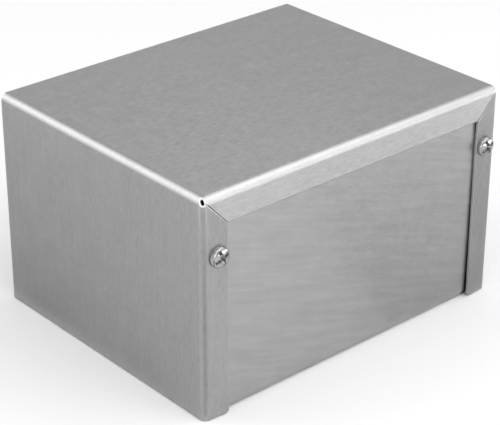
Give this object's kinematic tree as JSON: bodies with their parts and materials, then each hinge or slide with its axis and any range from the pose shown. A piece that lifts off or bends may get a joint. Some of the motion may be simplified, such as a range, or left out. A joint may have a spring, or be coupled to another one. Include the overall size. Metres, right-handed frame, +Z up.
{
  "type": "aluminium enclosure",
  "caption": "Folded sheet-aluminium utility box: a U-shaped base under a flanged cover with mitred corners, held by pan-head self-tapping screws, for housing small electronics.",
  "frame": {"origin": "middle of the base's underside, on the surface that the box stands on", "axes": "+X along the longer side towards the right-hand end seen from the front, +Y towards the rear, +Z up"},
  "size_m": [0.127, 0.1076, 0.0762],
  "materials": {
    "base_sheet": "mill finish sheet with a fine rolled grain along its width, unpainted",
    "cover_sheet": "mill finish sheet with a fine rolled grain along the folded strip, unpainted",
    "screw_plating": "bright zinc-plated steel"
  },
  "bodies": {
    "root": {"base": "base_sheet", "cover": "cover_sheet", "cover_screws": "screw_plating"}
  },
  "joints": []
}
